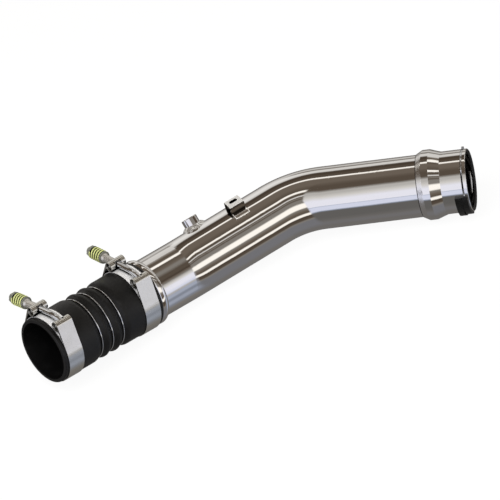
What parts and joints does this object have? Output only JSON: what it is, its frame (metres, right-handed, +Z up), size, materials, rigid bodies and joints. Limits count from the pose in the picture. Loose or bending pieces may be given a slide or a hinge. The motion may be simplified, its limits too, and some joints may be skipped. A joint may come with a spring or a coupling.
{
  "type": "intercooler pipe",
  "caption": "Polished twice-bent charge-air pipe with a hump hose and spring T-bolt clamps at one end and a quick coupler with seal and wire clip at the other.",
  "frame": {"origin": "bottom centre of the bounding box, on the floor under the pipe as it lies at rest", "axes": "+X from the hose mouth to the coupler outlet in plan and the longest extent, +Z up, +Y completes the right-handed frame"},
  "size_m": [0.5004, 0.141, 0.0891],
  "materials": {
    "polished_tube": "mirror polished",
    "silicone": "satin black silicone",
    "polished_steel": "polished stainless steel",
    "spring_green": "yellow-green coated steel",
    "nut_grey": "grey coated steel",
    "black_seal": "matt black rubber",
    "black_plastic": "satin black plastic"
  },
  "bodies": {
    "root": {"charge_tube": "polished_tube", "elbow_tube": "polished_tube", "outlet_tube": "polished_tube", "hump_hose": "silicone", "hose_ring_1": "polished_steel", "hose_ring_2": "polished_steel", "hose_ring_3": "polished_steel", "stop_ring": "polished_tube", "port_bung": "polished_tube", "bung_weld": "polished_tube", "bracket": "polished_tube", "coupler_body": "polished_tube", "coupler_seal": "black_seal", "coupler_lip": "black_seal", "wire_clip": "polished_steel", "lock_block": "black_plastic", "band_front": "polished_steel", "bridge_front": "polished_steel", "t_bolt_front": "polished_steel", "trunnion_front": "polished_steel", "sleeve_front": "polished_steel", "spring_seat_front": "nut_grey", "spring_front": "spring_green", "nut_front": "nut_grey", "band_rear": "polished_steel", "bridge_rear": "polished_steel", "t_bolt_rear": "polished_steel", "trunnion_rear": "polished_steel", "sleeve_rear": "polished_steel", "spring_seat_rear": "nut_grey", "spring_rear": "spring_green", "nut_rear": "nut_grey"}
  },
  "joints": []
}
